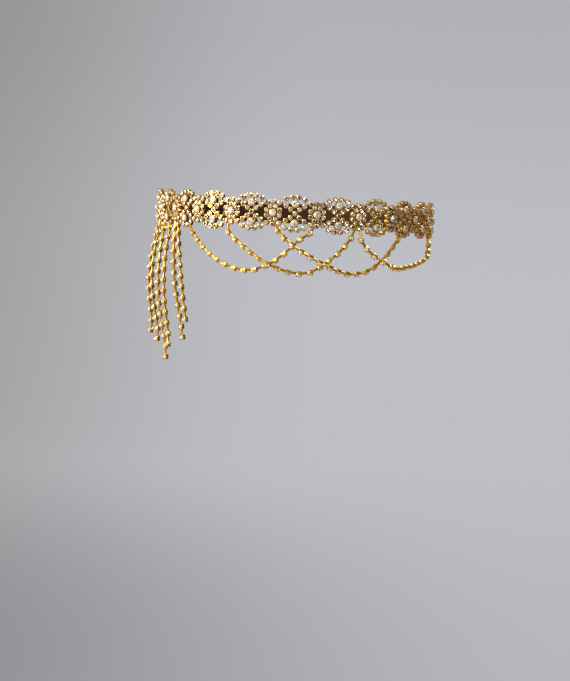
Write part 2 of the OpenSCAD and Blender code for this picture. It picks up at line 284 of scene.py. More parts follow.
def makeWebbing():
    # Plain weave of warp threads along the strap and picks across it, with painted shade in the hollows
    group, given, made = newGroup(
        "webbing",
        {
            "Place": "Vector",
            "Thread Width": "Float",
            "Pick Length": "Float",
            "Thread Color": "Color",
            "Painted Hollow Shade": "Color",
        },
        {"Color": "Color", "Height": "Float"},
    )
    flat = addNode(group, "SeparateXYZ", {0: given["Place"]}).outputs
    across = addMath(group, "DIVIDE", flat[1], given["Thread Width"])
    along = addMath(group, "DIVIDE", flat[0], given["Pick Length"])
    warp = addMath(group, "ABSOLUTE", addMath(group, "SINE", addMath(group, "MULTIPLY", across, pi)))
    step = addMath(group, "MULTIPLY", addMath(group, "FLOOR", across), pi)
    over = addMath(group, "SINE", addMath(group, "MULTIPLY_ADD", along, pi, step))
    pushed = addMath(group, "MULTIPLY_ADD", over, weave["overShare"], 1 - weave["overShare"])
    height = addMath(group, "MULTIPLY", warp, pushed)
    fuzz = addNoise(group, given["Place"], weave["fuzzScale"], weave["fuzzDetail"])
    centred = addMath(group, "ADD", height, -weave["fuzzShare"] / 2)
    fuzzedHeight = addMath(group, "MULTIPLY_ADD", fuzz, weave["fuzzShare"], centred)
    lit = addRange(group, fuzzedHeight, weave["hollowTo"], weave["threadFrom"])
    group.links.new(addMix(group, lit, given["Painted Hollow Shade"], given["Thread Color"]), made["Color"])
    group.links.new(height, made["Height"])
    return group


wornGoldWithPaintedLight = makeWornGoldWithPaintedLight()
stoneFire = makeStoneFire()
webbing = makeWebbing()

# Materials

finishes = {
    "trimGold": {
        "Painted Gap Shade": (0.12, 0.04, 0.004, 1),
        "Plate Color": (0.86, 0.54, 0.10, 1),
        "Painted Lip Highlight": (1.0, 0.84, 0.38, 1),
        "Painted Shade Depth": 0.85,
        "Mark Scale": 2400,
        "Plate Roughness": 0.16,
    },
    "chainGold": {
        "Painted Gap Shade": (0.34, 0.14, 0.01, 1),
        "Plate Color": (0.92, 0.58, 0.09, 1),
        "Painted Lip Highlight": (1.0, 0.85, 0.36, 1),
        "Painted Shade Depth": 0.3,
        "Mark Scale": 2400,
        "Plate Roughness": 0.18,
    },
    "clearStone": {
        "Shade Color": (0.18, 0.17, 0.17, 1),
        "Tint Color": (0.80, 0.75, 0.73, 1),
        "Painted Glint Color": (1.0, 1.0, 1.0, 1),
        "Shade Share": 0.22,
        "Painted Glint Share": 0.75,
    },
    "champagneStone": {
        "Shade Color": (0.10, 0.045, 0.02, 1),
        "Tint Color": (0.72, 0.54, 0.39, 1),
        "Painted Glint Color": (1.0, 0.94, 0.80, 1),
        "Shade Share": 0.38,
        "Painted Glint Share": 0.75,
    },
    "paleStone": {
        "Shade Color": (0.32, 0.20, 0.09, 1),
        "Tint Color": (0.87, 0.69, 0.42, 1),
        "Painted Glint Color": (1.0, 0.95, 0.78, 1),
        "Shade Share": 0.3,
        "Painted Glint Share": 0.8,
    },
    "strapWeave": {
        "Thread Width": 0.4,
        "Pick Length": 0.55,
        "Thread Color": (0.085, 0.032, 0.012, 1),
        "Painted Hollow Shade": (0.02, 0.007, 0.003, 1),
    },
}
# What is the same all over a finish
plain = {
    "gold": {"Metallic": 1, "Coat Weight": 0.12, "Coat Roughness": 0.06},
    "stone": {"Metallic": 0.4, "Coat Weight": 1, "Coat Roughness": 0.02, "Coat IOR": 1.5},
    "strap": {"Roughness": 0.62, "Specular IOR Level": 0.15, "Sheen Weight": 0.04},
    "glowingBackdrop": {"Base Color": (0, 0, 0, 1), "Specular IOR Level": 0, "Emission Strength": 1},
}
# Strength, and height in metres
bumps = {"gold": (0.12, 0.00004), "strap": (0.6, 0.0001), "glowingBackdrop": (0.05, 0.001)}


def startMaterial(name):
    material = bpy.data.materials.new(name)
    material.use_nodes = True
    tree = material.node_tree
    return material, tree, tree.nodes["Principled BSDF"]


def useGroup(tree, group, links):
    return addNode(tree, "Group", links, node_tree=group).outputs


def addBump(tree, shader, height, strength, distance):
    bump = addNode(tree, "Bump", {"Strength": strength, "Distance": distance, "Height": height})
    tree.links.new(bump.outputs[0], shader.inputs["Normal"])


def makeGold(name):
    material, tree, shader = startMaterial(name)
    place = addNode(tree, "TexCoord").outputs["Object"]
    rise = addNode(tree, "Attribute", attribute_name="riseShare").outputs["Fac"]
    made = useGroup(tree, wornGoldWithPaintedLight, {"Place": place, "Rise": rise, **finishes[name]})
    feed(tree, shader, {"Base Color": made["Color"], "Roughness": made["Roughness"], **plain["gold"]})
    addBump(tree, shader, made["Height"], *bumps["gold"])
    return material


def makeStoneFinish(name):
    material, tree, shader = startMaterial(name)
    facet = addNode(tree, "Attribute", attribute_name="facetTone").outputs["Fac"]
    made = useGroup(tree, stoneFire, {"Facet": facet, **finishes[name]})
    feed(tree, shader, {"Base Color": made["Color"], "Roughness": made["Roughness"], **plain["stone"]})
    return material


def makeStrapFinish(name):
    material, tree, shader = startMaterial(name)
    place = addNode(tree, "UVMap").outputs[0]  # in millimetres along and across the strap
    made = useGroup(tree, webbing, {"Place": place, **finishes[name]})
    feed(tree, shader, {"Base Color": made["Color"], **plain["strap"]})
    addBump(tree, shader, made["Height"], *bumps["strap"])
    return material


trimGold = makeGold("trimGold")
chainGold = makeGold("chainGold")
clearStone = makeStoneFinish("clearStone")
champagneStone = makeStoneFinish("champagneStone")
paleStone = makeStoneFinish("paleStone")
strapWeave = makeStrapFinish("strapWeave")
print("materials made")

# The loop that everything follows, in millimetres

loop = {"halfWidth": 78, "halfLength": 97, "frontRadius": 70}
# How far the front arc's middle is before the loop's
frontMiddle = loop["halfLength"] - loop["frontRadius"]
sideRadius = (loop["halfWidth"] ** 2 + frontMiddle**2 - loop["frontRadius"] ** 2) / (
    2 * (loop["halfWidth"] - loop["frontRadius"])
)
sideShift = sideRadius - loop["halfWidth"]
frontTurn = atan2(sideShift, frontMiddle)
frontLength = loop["frontRadius"] * frontTurn


def heading(along):
    # Turn of the loop's outward side from the front, at a distance along the trim
    if abs(along) <= frontLength:
        return along / loop["frontRadius"]
    way = 1 if along > 0 else -1
    return way * (frontTurn + (abs(along) - frontLength) / sideRadius)


def outward(along):
    return Vector((sin(heading(along)), -cos(heading(along)), 0))


def loopPoint(along, up, out=0.0):
    if abs(along) <= frontLength:
        return Vector((0, -frontMiddle, up)) + outward(along) * (loop["frontRadius"] + out)
    way = 1 if along > 0 else -1
    return Vector((-way * sideShift, 0, up)) + outward(along) * (sideRadius + out)


def axesAt(point, x, y, z):
    return Matrix.Translation(point) @ Matrix((x, y, z)).transposed().to_4x4()


def onLoop(along, up, out=0.0):
    # X runs along the loop, Y up and Z out
    z, y = outward(along), Vector((0, 0, 1))
    return axesAt(loopPoint(along, up, out), y.cross(z), y, z)


def laid(point, ahead, face):
    # X runs ahead and Z is near the facing
    x = ahead.normalized()
    y = face.cross(x).normalized()
    return axesAt(point, x, y, x.cross(y))


def stretched(along, across, up):
    return Matrix.Diagonal((along, across, up, 1))


# Copying and joining


def copyTo(shape, matrix):
    twin = bpy.data.objects.new(shape.name, shape.data.copy())
    bpy.context.collection.objects.link(twin)
    twin.data.transform(Matrix.Scale(mm, 4) @ matrix)
    return twin


def joined(parts, name):
    selectOnly(*parts)
    bpy.ops.object.join()
    return namedShape(name)


def paint(shape, material):
    shape.data.materials.clear()
    shape.data.materials.append(material)


def finished(piece, material, slotName, *nodes):
    paint(piece, material)
    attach(piece, "root")
    if nodes:
        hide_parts(*nodes)


# Cups, stones, bars and rings, each modelled once, with their own sizes in millimetres

cups = {
    "smallCup": {
        "sides": 12, "radius": 1.5, "rim": 1.7, "wall": 0.18, "floor": 0.95, "lean": 0.95,
        "footRound": 0.22, "footSteps": 1, "clawRise": 0.46, "clawLean": 0.78, "edge": 0,
        "corner": 0,
    },
    "bigCup": {
        "sides": 24, "radius": 2.35, "rim": 2.05, "wall": 0.26, "floor": 0.95, "lean": 0.97,
        "footRound": 0.35, "footSteps": 2, "clawRise": 0.95, "clawLean": 0.84, "edge": 0.07,
        "corner": 0,
    },
    # The chain's cups are square with round corners, and their radius is half their width
    "chainCup": {
        "sides": 4, "radius": 1.55, "rim": 1.7, "wall": 0.24, "floor": 0.95, "lean": 0.98,
        "footRound": 0.18, "footSteps": 1, "clawRise": 0.7, "clawLean": 0.84, "edge": 0.05,
        "corner": 0.6,
    },
}
# The claws rise from the lip near the diagonals, upright first and then bent over the stone
claws = {"diagonal": 0.6, "upright": 0.62, "taper": 0.97}
cupEdge = 45  # degrees between faces, from which an edge is rounded
cupRise = (0.12, 1.0)  # at the foot, in painted shade, and at the claws' tips, in painted highlight


def makeCup(name):
    cut = cups[name]
    rim = cut["rim"]
    square = cut["corner"] > 0
    bpy.ops.mesh.primitive_cylinder_add(
        vertices=cut["sides"], radius=cut["radius"] * (2**0.5 if square else 1), depth=rim,
        location=(0, 0, rim / 2), rotation=(0, 0, pi / 4 if square else 0),
    )
    cup = newShape(name)
    startEdit(cup)
    if square:
        bpy.ops.mesh.select_mode(type="EDGE")
        cage = bmesh.from_edit_mesh(cup.data)
        for edge in cage.edges:
            p, q = [point.co for point in edge.verts]
            edge.select_set(abs(p.z - q.z) > rim / 2)
        bmesh.update_edit_mesh(cup.data)
        bpy.ops.mesh.bevel(offset=cut["corner"], segments=2)
        bpy.ops.mesh.select_mode(type="FACE")
    pickFaces(cup, lambda middle, way: way.z < -facing)
    bpy.ops.mesh.bevel(offset=cut["footRound"], segments=cut["footSteps"])
    pickFaces(cup, lambda middle, way: way.z > facing)
    scaleFlat(cut["lean"])  # the wall leans in to its lip
    bpy.ops.mesh.inset(thickness=cut["wall"])
    extrudeBy(0, 0, cut["floor"] - rim)

    def isClaw(middle, way):
        onLip = way.z > facing and middle.z > (cut["floor"] + rim) / 2
        return onLip and cos(4 * (atan2(middle.y, middle.x) - pi / 4)) > claws["diagonal"]

    pickFaces(cup, isClaw)
    extrudeBy(0, 0, cut["clawRise"] * claws["upright"])
    scaleFlat(claws["taper"])
    extrudeBy(0, 0, cut["clawRise"] * (1 - claws["upright"]))
    scaleFlat(cut["clawLean"])
    endEdit()
    if cut["edge"]:
        selectOnly(cup)
        rounding = cup.modifiers.new("rounding", "BEVEL")
        rounding.width, rounding.segments = cut["edge"], 1
        rounding.limit_method, rounding.angle_limit = "ANGLE", radians(cupEdge)
        bpy.ops.object.modifier_apply(modifier=rounding.name)
    tall = max(point.co.z for point in cup.data.vertices)
    low, high = cupRise
    markRise(cup, lambda place: low + (high - low) * place.z / tall)
    smoothShape(cup)
    return cup


stones = {
    # rings: radius and height of each, from the girdle up to the table
    # light: the range of painted light and shade of each kind of facet
    # mood: how much the painted light in the table of one stone is lighter or darker than another's
    "smallStone": {
        "sides": 8, "rings": [(1.24, 1.68), (0.8, 2.02)], "back": 0.6, "star": 0.13,
        "light": {"back": (0.2, 0.4), "crown": (0.1, 1.2), "table": (0.0, 0.5)}, "mood": 0.35,
    },
    "bigStone": {
        "sides": 12, "rings": [(2.12, 2.25), (1.76, 2.78), (1.16, 3.12)], "back": 1.1, "star": 0.1,
        "light": {"back": (0.2, 0.4), "crown": (0.15, 1.1), "table": (0.0, 1.0)}, "mood": 0.2,
    },
    "chainStone": {
        "sides": 8, "rings": [(1.36, 1.92), (0.84, 2.5)], "back": 0.8, "star": 0.06,
        "light": {"back": (0.2, 0.4), "crown": (0.4, 1.0), "table": (0.35, 1.0)}, "mood": 0.25,
    },
}
tableShare = 0.85  # of the table's radius, within which a facet's middle makes it the table's


def makeStone(name):
    cut = stones[name]
    girdle, lastUp = cut["rings"][0]
    bpy.ops.mesh.primitive_cone_add(
        vertices=cut["sides"], radius1=0, radius2=girdle, depth=cut["back"],
        location=(0, 0, lastUp - cut["back"] / 2),
    )
    stone = newShape(name)
    startEdit(stone)
    pickFaces(stone, lambda middle, way: way.z > facing)
    wide = girdle
    for radius, up in cut["rings"][1:]:
        extrudeBy(0, 0, up - lastUp)
        scaleFlat(radius / wide)
        bpy.ops.transform.rotate(value=pi / cut["sides"], orient_axis="Z", center_override=(0, 0, 0))
        wide, lastUp = radius, up
    bpy.ops.mesh.poke(offset=-cut["star"])  # the table's star, as the foiled back shows it
    pickFaces(stone, lambda middle, way: middle.z > cut["rings"][0][1])
    bpy.ops.mesh.quads_convert_to_tris(quad_method="SHORTEST_DIAGONAL")
    endEdit()
    bpy.ops.object.shade_flat()
    return stone


def facetKind(face, cut):
    girdleUp, tableRadius = cut["rings"][0][1], cut["rings"][-1][0]
    if face.center.z < girdleUp:
        return "back"
    return "table" if hypot(face.center.x, face.center.y) < tableRadius * tableShare else "crown"


def facetPlace(face):
    return [round(value, 2) for value in face.center]  # far finer than a facet


def orderedFacets(stone):
    # Modelling leaves the facets of one kind in another order each time, so they are taken by place
    faces, cut = stone.data.polygons, stones[stone.name]
    kinds = [facetKind(face, cut) for face in faces]
    waiting = {kind: [] for kind in kinds}
    for face in sorted(faces, key=facetPlace):
        waiting[kinds[face.index]].append(face.index)
    return [(waiting[kind].pop(0), kind) for kind in kinds]


def placeStones(stone, places, name, material, slotName, *nodes):
    draws = random.Random(name)
    cut = stones[stone.name]
    facets = orderedFacets(stone)
    parts = []
    for matrix in places:
        part = copyTo(stone, matrix)
        layer = part.data.attributes.new("facetTone", "FLOAT", "FACE")
        mood = draws.uniform(-1, 1) * cut["mood"]
        for index, kind in facets:
            layer.data[index].value = draws.uniform(*cut["light"][kind]) + mood * (kind == "table")
        parts.append(part)
    finished(joined(parts, name), material, slotName, *nodes)


bars = {
    "sides": 8,
    "radius": 0.54,
    "waists": {"trimBar": 0.86, "chainBar": 0.8},
    # The bars' low rise gives them the gold's painted gap shade
    "lowRise": 0.03,
    "addedRise": 0.17,  # from the bar's underside to its top
}


def makeBar(name):
    # One unit long, wide and thick, in five steps, and narrower in its middle
    waist, step = bars["waists"][name], 1 / 5
    bpy.ops.mesh.primitive_cylinder_add(
        vertices=bars["sides"], radius=bars["radius"], depth=step, rotation=(0, pi / 2, 0),
        location=(step / 2, 0, 0.5),
    )
    bar = newShape(name)
    startEdit(bar)
    pickFaces(bar, lambda middle, way: way.x > facing)
    for share in (waist, 1, 1 / waist, 1):
        extrudeBy(step, 0, 0)
        bpy.ops.transform.resize(value=(1, share, share), center_override=(0, 0, 0.5))
    endEdit()
    markRise(bar, lambda place: bars["lowRise"] + bars["addedRise"] * place.z)
    smoothShape(bar)
    return bar


ring = {
    "radius": 1.1,
    "wire": 0.22,
    "segments": 24,
    "sides": 8,
    "seam": (1.8, 2.05),  # radians round the ring
    "drop": 0.4,  # from the middle of the bar that it hangs on to the ring's middle
    # A high rise, so the ring takes part of the painted lip highlight
    "rise": 0.9,
}


def makeJumpRing():
    bpy.ops.mesh.primitive_torus_add(
        major_radius=ring["radius"], minor_radius=ring["wire"],
        major_segments=ring["segments"], minor_segments=ring["sides"],
    )
    shape = newShape("jumpRing")
    startEdit(shape)
    start, end = ring["seam"]
    pickFaces(shape, lambda middle, way: start < atan2(middle.y, middle.x) < end)
    bpy.ops.mesh.delete(type="FACE")
    bpy.ops.mesh.select_all(action="SELECT")
    bpy.ops.mesh.fill_holes(sides=ring["sides"])
    endEdit()
    markRise(shape, lambda place: ring["rise"])
    smoothShape(shape)
    return shape


disc = {
    "sides": 32,
    "radius": 4,
    "low": 0.35,
    "thick": 0.4,
    "edge": 0.1,
    "border": 0.5,
    "dish": 0.1,
    # A low rise, so the disc takes the gold's painted gap shade
    "rise": 0.16,
}


def makeFlowerDisc():
    bpy.ops.mesh.primitive_cylinder_add(
        vertices=disc["sides"], radius=disc["radius"], depth=disc["thick"],
        location=(0, 0, disc["low"] + disc["thick"] / 2),
    )
    shape = newShape("flowerDisc")
    startEdit(shape)
    pickFaces(shape, lambda middle, way: abs(way.z) > facing)
    bpy.ops.mesh.bevel(offset=disc["edge"], segments=1)
    inner = disc["radius"] / 2
    pickFaces(shape, lambda middle, way: way.z > facing and hypot(middle.x, middle.y) < inner)
    bpy.ops.mesh.inset(thickness=disc["border"])
    extrudeBy(0, 0, -disc["dish"])
    endEdit()
    markRise(shape, lambda place: disc["rise"])
    smoothShape(shape)
    return shape


smallCup, bigCup, chainCup = [makeCup(name) for name in cups]
smallStone, bigStone, chainStone = [makeStone(name) for name in stones]
trimBar, chainBar = [makeBar(name) for name in bars["waists"]]
jumpRing = makeJumpRing()
flowerDisc = makeFlowerDisc()
patterns = [smallCup, bigCup, chainCup, smallStone, bigStone, chainStone]
patterns += [trimBar, chainBar, jumpRing, flowerDisc]
print("cups, stones, bars and rings modelled")

# The openwork trim

trim = {
    "repeat": 24,
    "repeats": 12,
    "perSection": 2,
    "eyeHalfHeight": 6.2,
    "rimFullness": 0.9,
    "rimShares": [0.2, 0.42, 0.71, 1],  # of the way from a stack to the eye's middle
    "caps": [(1.75, 3.6), (5.3, 2.5)],  # along and up from the big stone
    "bigStoneUp": 5.4,
    "eyeRing": 3.8,
    "ringCups": 8,
    "smallRadius": 1.4,  # of the small cup in the solids, from which the bars are measured
    "bigRadius": 2.35,
    "barUp": 0.25,
    "barWide": 0.6,
    "barIn": 0.28,
}
rimLast = len(trim["rimShares"]) - 1


def stackAt(k):
    return (k - trim["repeats"] / 2) * trim["repeat"]


def eyeAt(k):
    return stackAt(k) + trim["repeat"] / 2


def rimPlace(k, i, side):
    share = trim["rimShares"][rimLast - abs(i)]
    away = (i > 0) - (i < 0)
    rise = trim["eyeHalfHeight"] * sin(pi / 2 * share ** trim["rimFullness"])
    return eyeAt(k) + away * (1 - share) * trim["repeat"] / 2, side * rise


def bigPlace(k, side):
    return stackAt(k), side * trim["bigStoneUp"]


def capPlace(k, i, side):
    along, up = trim["caps"][abs(i) - 1]
    return stackAt(k) + (along if i > 0 else -along), side * (trim["bigStoneUp"] + up)


def ringPlace(k, i):
    turn = radians((i + 0.5) * 360 / trim["ringCups"])
    return eyeAt(k) + trim["eyeRing"] * cos(turn), trim["eyeRing"] * sin(turn)


def lowCup(kind, k, i):
    return rimPlace(k, i, -1) if kind == "eye" else capPlace(k, i, -1)


def nextCup(kind, k, i):
    return lowCup(kind, k, 1 if kind == "cap" and i == -1 else i + 1)


class Section:
    # The metal and the small stones of one section of the trim
    def __init__(self):
        self.metal, self.small = [], []

    def addCup(self, place):
        self.metal.append(copyTo(smallCup, onLoop(*place)))
        self.small.append(onLoop(*place))

    def addBar(self, start, end, startRadius=None, endRadius=None):
        startRadius = (startRadius or trim["smallRadius"]) - trim["barIn"]
        endRadius = (endRadius or trim["smallRadius"]) - trim["barIn"]
        p, q = loopPoint(*start, trim["barUp"]), loopPoint(*end, trim["barUp"])
        ahead = (q - p).normalized()
        length = (q - p).length - startRadius - endRadius
        matrix = laid(p + ahead * startRadius, ahead, outward((start[0] + end[0]) / 2))
        self.metal.append(copyTo(trimBar, matrix @ stretched(length, trim["barWide"], trim["barWide"])))

    def addStack(self, k):
        big = trim["bigRadius"]
        self.addCup((stackAt(k), 0))
        for side in (-1, 1):
            place = bigPlace(k, side)
            self.addBar(place, (stackAt(k), 0), big)
            self.metal.append(copyTo(bigCup, onLoop(*place)))
            for i in (-2, -1, 1, 2):
                self.addCup(capPlace(k, i, side))
            self.addBar(capPlace(k, -1, side), capPlace(k, 1, side))
            for i in (-1, 1):
                self.addBar(capPlace(k, i, side), capPlace(k, 2 * i, side))
                self.addBar(place, capPlace(k, i, side), big)

    def addFlower(self, k):
        self.metal.append(copyTo(flowerDisc, onLoop(eyeAt(k), 0)))
        self.metal.append(copyTo(bigCup, onLoop(eyeAt(k), 0)))
        for i in range(trim["ringCups"]):
            self.addCup(ringPlace(k, i))
        for side in (-1, 1):
            self.addBar((eyeAt(k), 0), rimPlace(k, 0, side), disc["radius"])

    def addRim(self, k, first, last):
        for side in (-1, 1):
            for i in range(first, last + 1):
                self.addCup(rimPlace(k, i, side))
            for i in range(first, last):
                self.addBar(rimPlace(k, i, side), rimPlace(k, i + 1, side))

    def joinStackToEye(self, k, way):
        eye = k if way > 0 else k - 1
        for side in (-1, 1):
            tip = rimPlace(eye, -way * rimLast, side)
            self.addBar((stackAt(k), 0), tip)
            self.addBar(bigPlace(k, side), tip, trim["bigRadius"])
            self.addBar(capPlace(k, 2 * way, side), rimPlace(eye, -way * (rimLast - 1), side))


# Swags and tassel strands

chain = {
    "pitch": 6.05,
    "barWide": 1.8,
    "barThick": 1.45,
    "barUp": 0.15,
    "cupRadius": 1.65,  # of the round cup in the solids, which sets how far a turned chain stands out
    "clear": 0.2,
    "solderGap": 0.3,
}
hang = {
    "lengthSteps": 160,  # that a swag's route is measured in
    "fullness": 0.5,  # how fast a swag leaves the trim: less is faster
    "faceStep": 0.05,  # to each side, to find which way a swag runs
    "liftWide": 8,
    "bulgeReach": 1.1,  # a strand's bulge is over at 1 / 1.1 of its length
    "turnReach": 1.4,  # and its turn is full at 1 / 1.4 of it
    "shiftPower": 1.6,  # how low down a strand shifts: more is lower
}
swags = [
    # cups, start, end, cups' shift, turn of the stones down, lifts over the swags underneath, route
    (15, ("cap", 3, 1), ("eye", 6, -1), -1.3, 75, [],
        [(-61.2, -14.1), (-51.8, -21.4), (-41.5, -27.3), (-31.3, -30.9), (-21.2, -31), (-12.6, -27.4),
            (-4.8, -21.2), (2.2, -14), (7.9, -10.1)]),
    (15, ("eye", 4, -1), ("eye", 7, -1), 0, 62, [(-13, 4.1)],
        [(-37.1, -11), (-28.3, -17.9), (-18.4, -24.2), (-8.6, -29.2), (1.1, -31.8), (9.6, -31),
            (17.7, -25.6), (25.6, -18.7), (31.4, -11.9)]),
    (16, ("eye", 5, 0), ("cap", 9, -2), 0, 58, [(0, 5.4), (17, 4.1)],
        [(-7.3, -10.8), (1.1, -17.7), (10.5, -23.4), (20.3, -28.1), (31.1, -30.9), (41.7, -29.3),
            (51.5, -23.8), (59.4, -16.9), (65.3, -11.6)]),
    (15, ("eye", 7, 0), ("cap", 11, -2), 0, 58, [(53, 4.1), (103, 1.8)],
        [(38.6, -12.6), (45, -19.6), (54, -24.6), (65, -26.8), (77, -25.8), (90, -23.8),
            (102, -20.4), (111, -15)]),
]
strands = [
    # cups, start, first cup's drop, gap to the second, bulge out, lower end's shift in X and Y, turn
    (10, ("eye", 2, 1), 3.6, 4.8, 0, 6.5, -1, 12),
    (11, ("eye", 2, 0), 6.05, 6.05, 2, 6.5, 2, 34),
    (12, ("cap", 2, 2), 3.6, 5.3, 3.5, 1.5, 0, 10),
    (13, ("cap", 2, -2), 4.4, 6.05, 4, 3.5, -1, 42),
    (12, ("eye", 1, 0), 4, 4.5, 5, 0, 1, 30),
    (11, ("cap", 1, 1), 3.9, 3.7, 4, -2, 3, 14),
]


def splinePoint(points, u):
    last = len(points) - 1
    i = min(floor(u), last - 1)
    t = u - i
    a, b, c, d = points[max(i - 1, 0)], points[i], points[i + 1], points[min(i + 2, last)]
    return b + t / 2 * (c - a + t * (2 * a - 5 * b + 4 * c - d + t * (3 * b - a - 3 * c + d)))


def lookUp(value, keys, values):
    i = min(max(bisect(keys, value), 1), len(keys) - 1)
    share = (value - keys[i - 1]) / (keys[i] - keys[i - 1])
    return values[i - 1] + share * (values[i] - values[i - 1])


def addChainBar(parts, p, q, face):
    matrix = laid(p, q - p, face) @ Matrix.Translation((0, 0, chain["barUp"]))
    size = stretched((q - p).length, chain["barWide"], chain["barThick"])
    parts.append(copyTo(chainBar, matrix @ size))


class Swag:
    # A route from ring to ring through the table's points, with u running from one to the next
    def __init__(self, count, start, end, shift, turned, lifts, route):
        self.hooks, self.turned, self.lifts = (start, end), radians(turned), lifts
        ends = [(Vector(lowCup(*hook)) + Vector(nextCup(*hook))) / 2 for hook in self.hooks]
        self.route = [ends[0], *[Vector(place) for place in route], ends[1]]
        self.spans = len(self.route) - 1
        steps = [self.spans * j / hang["lengthSteps"] for j in range(hang["lengthSteps"] + 1)]
        lengths = [0.0]
        for u, v in zip(steps, steps[1:]):
            lengths.append(lengths[-1] + (self.point(v) - self.point(u)).length)
        lead = (lengths[-1] - (count - 1) * chain["pitch"]) / 2 - shift
        self.stops = [lookUp(lead + i * chain["pitch"], lengths, steps) for i in range(count)]

    def hung(self, u):
        # From 0 at the hooks to 1 in the middle
        return max(sin(pi * u / self.spans), 0) ** hang["fullness"]

    def point(self, u):
        along, up = splinePoint(self.route, u)
        hung = self.hung(u)
        lifts = [high * exp(-(((along - over) / hang["liftWide"]) ** 2)) for over, high in self.lifts]
        free = chain["clear"] + chain["cupRadius"] * sin(self.turned * hung) + sum(lifts)
        return loopPoint(along, up, self.hookOut() * (1 - hung) + free * hung)

    def hookOut(self):
        return trim["barUp"] + trim["barWide"] / 2

    def face(self, u):
        # Out from the loop, turned down and away from the inside of the swag
        step = hang["faceStep"]
        ahead = (self.point(min(u + step, self.spans)) - self.point(max(u - step, 0))).normalized()
        p = self.point(u)
        out = (p - Vector((0, p.y * frontMiddle / loop["halfLength"], p.z))).normalized()
        inside = out.cross(ahead).normalized()
        turn = self.turned * self.hung(u)
        return out * cos(turn) - inside * sin(turn)

    def addEnds(self, parts, points, faces):
        # At each end a ring round a bar of the trim, and a bar from it to the end cup
        for hook, i in zip(self.hooks, (0, -1)):
            low, high = Vector(lowCup(*hook)), Vector(nextCup(*hook))
            along, up = (low + high) / 2
            bar = loopPoint(along, up, self.hookOut())
            axis = loopPoint(*high) - loopPoint(*low)
            down = axis.cross(outward(along)).normalized()
            parts.append(copyTo(jumpRing, laid(bar + down * ring["drop"], down, axis)))
            far = bar + down * (ring["drop"] + ring["radius"])
            anchor = far - faces[i] * (chain["barUp"] + chain["barThick"] / 2)
            addChainBar(parts, anchor, points[i], faces[i])


class Strand:
    # A route down from the small cup that the strand is soldered under
    def __init__(self, count, start, drop, gap, bulge, acrossX, acrossY, turned):
        self.start, self.bulge, self.turned = lowCup(*start), bulge, radians(turned)
        self.shift = Vector((acrossX, acrossY, 0))
        self.length = drop + gap + (count - 2) * chain["pitch"]
        self.stops = [drop] + [drop + gap + i * chain["pitch"] for i in range(count - 1)]

    def point(self, at):
        along, up = self.start
        share = at / self.length
        bowed = outward(along) * self.bulge * sin(pi * min(share * hang["bulgeReach"], 1))
        shifted = self.shift * share ** hang["shiftPower"]
        return loopPoint(along, up - at, chain["clear"]) + bowed + shifted

    def face(self, at):
        turn = heading(self.start[0]) + self.turned * min(at / self.length * hang["turnReach"], 1)
        return Vector((sin(turn), -cos(turn), 0))

    def addEnds(self, parts, points, faces):
        addChainBar(parts, self.point(trim["smallRadius"] + chain["solderGap"]), points[0], faces[0])


def alongChain(points, faces):
    last = len(points) - 1
    for i, point in enumerate(points):
        yield laid(point, points[min(i + 1, last)] - points[max(i - 1, 0)], faces[i])


def makeChain(route, metalName, stoneName, node, stoneNode):
    points = [route.point(at) for at in route.stops]
    faces = [route.face(at) for at in route.stops]
    places = list(alongChain(points, faces))
    parts = [copyTo(chainCup, matrix) for matrix in places]
    for i in range(len(points) - 1):
        addChainBar(parts, points[i], points[i + 1], faces[i] + faces[i + 1])
    route.addEnds(parts, points, faces)
    finished(joined(parts, metalName), chainGold, "cup_chain", node)
    placeStones(chainStone, places, stoneName, paleStone, "chain_stone", stoneNode)


def makeTrim():
    sections = trim["repeats"] // trim["perSection"]
    for n in range(sections):
        first = n * trim["perSection"]
        last = first + trim["perSection"] - 1
        lastStack = last + 1 if n == sections - 1 else last
        made = Section()
        for k in range(first, last + 1):
            made.addFlower(k)
            made.addRim(k, -rimLast, rimLast)
        if n == 0:
            made.addRim(-1, rimLast - 1, rimLast)
        if n == sections - 1:
            made.addRim(trim["repeats"], -rimLast, 1 - rimLast)
        for k in range(first, lastStack + 1):
            made.addStack(k)
            if k > first or n == 0:
                made.joinStackToEye(k, -1)
            made.joinStackToEye(k, 1)
        label = str(n + 1)
        metal = joined(made.metal, "trimSection" + label)
        finished(metal, trimGold, "trim_metal", "trim_section_" + label)
        placeStones(smallStone, made.small, "smallStones" + label, champagneStone, "main_stone")


def addMainStone(word, k, place):
    name, node = f"{word}Stone{k + 1}", f"{word}_stone_{k + 1}"
    placeStones(bigStone, [onLoop(*place)], name, clearStone, "main_stone", node)


def makeMainStones():
    for k in range(trim["repeats"] + 1):
        for side, word in ((1, "upper"), (-1, "lower")):
            addMainStone(word, k, bigPlace(k, side))
    for k in range(trim["repeats"]):
        addMainStone("eye", k, (eyeAt(k), 0))


makeTrim()
print("trim placed")
makeMainStones()
print("main stones placed")
for n, row in enumerate(swags, 1):
    makeChain(Swag(*row), f"swag{n}", f"swagStones{n}", f"swag_{n}", "swag_stones")
for n, row in enumerate(strands, 1):
    strand = Strand(*row)
    makeChain(strand, f"tasselStrand{n}", f"tasselStones{n}", f"tassel_strand_{n}", "tassel_stones")
print("swags and tassel hung")
for shape in patterns:
    bpy.data.objects.remove(shape)
print("patterns cleared")

# The woven strap, and the stitches that hold it to the end stacks

strap = {
    "high": 12,
    "narrower": 0.1,  # than the strap of the solids
    "thick": 1.2,
    "gap": 0.2,
    "lap": 11,
    "ribs": 15,
    "ribRise": 0.1,
    "lengthSteps": 220,
    "linePoints": 360,
}


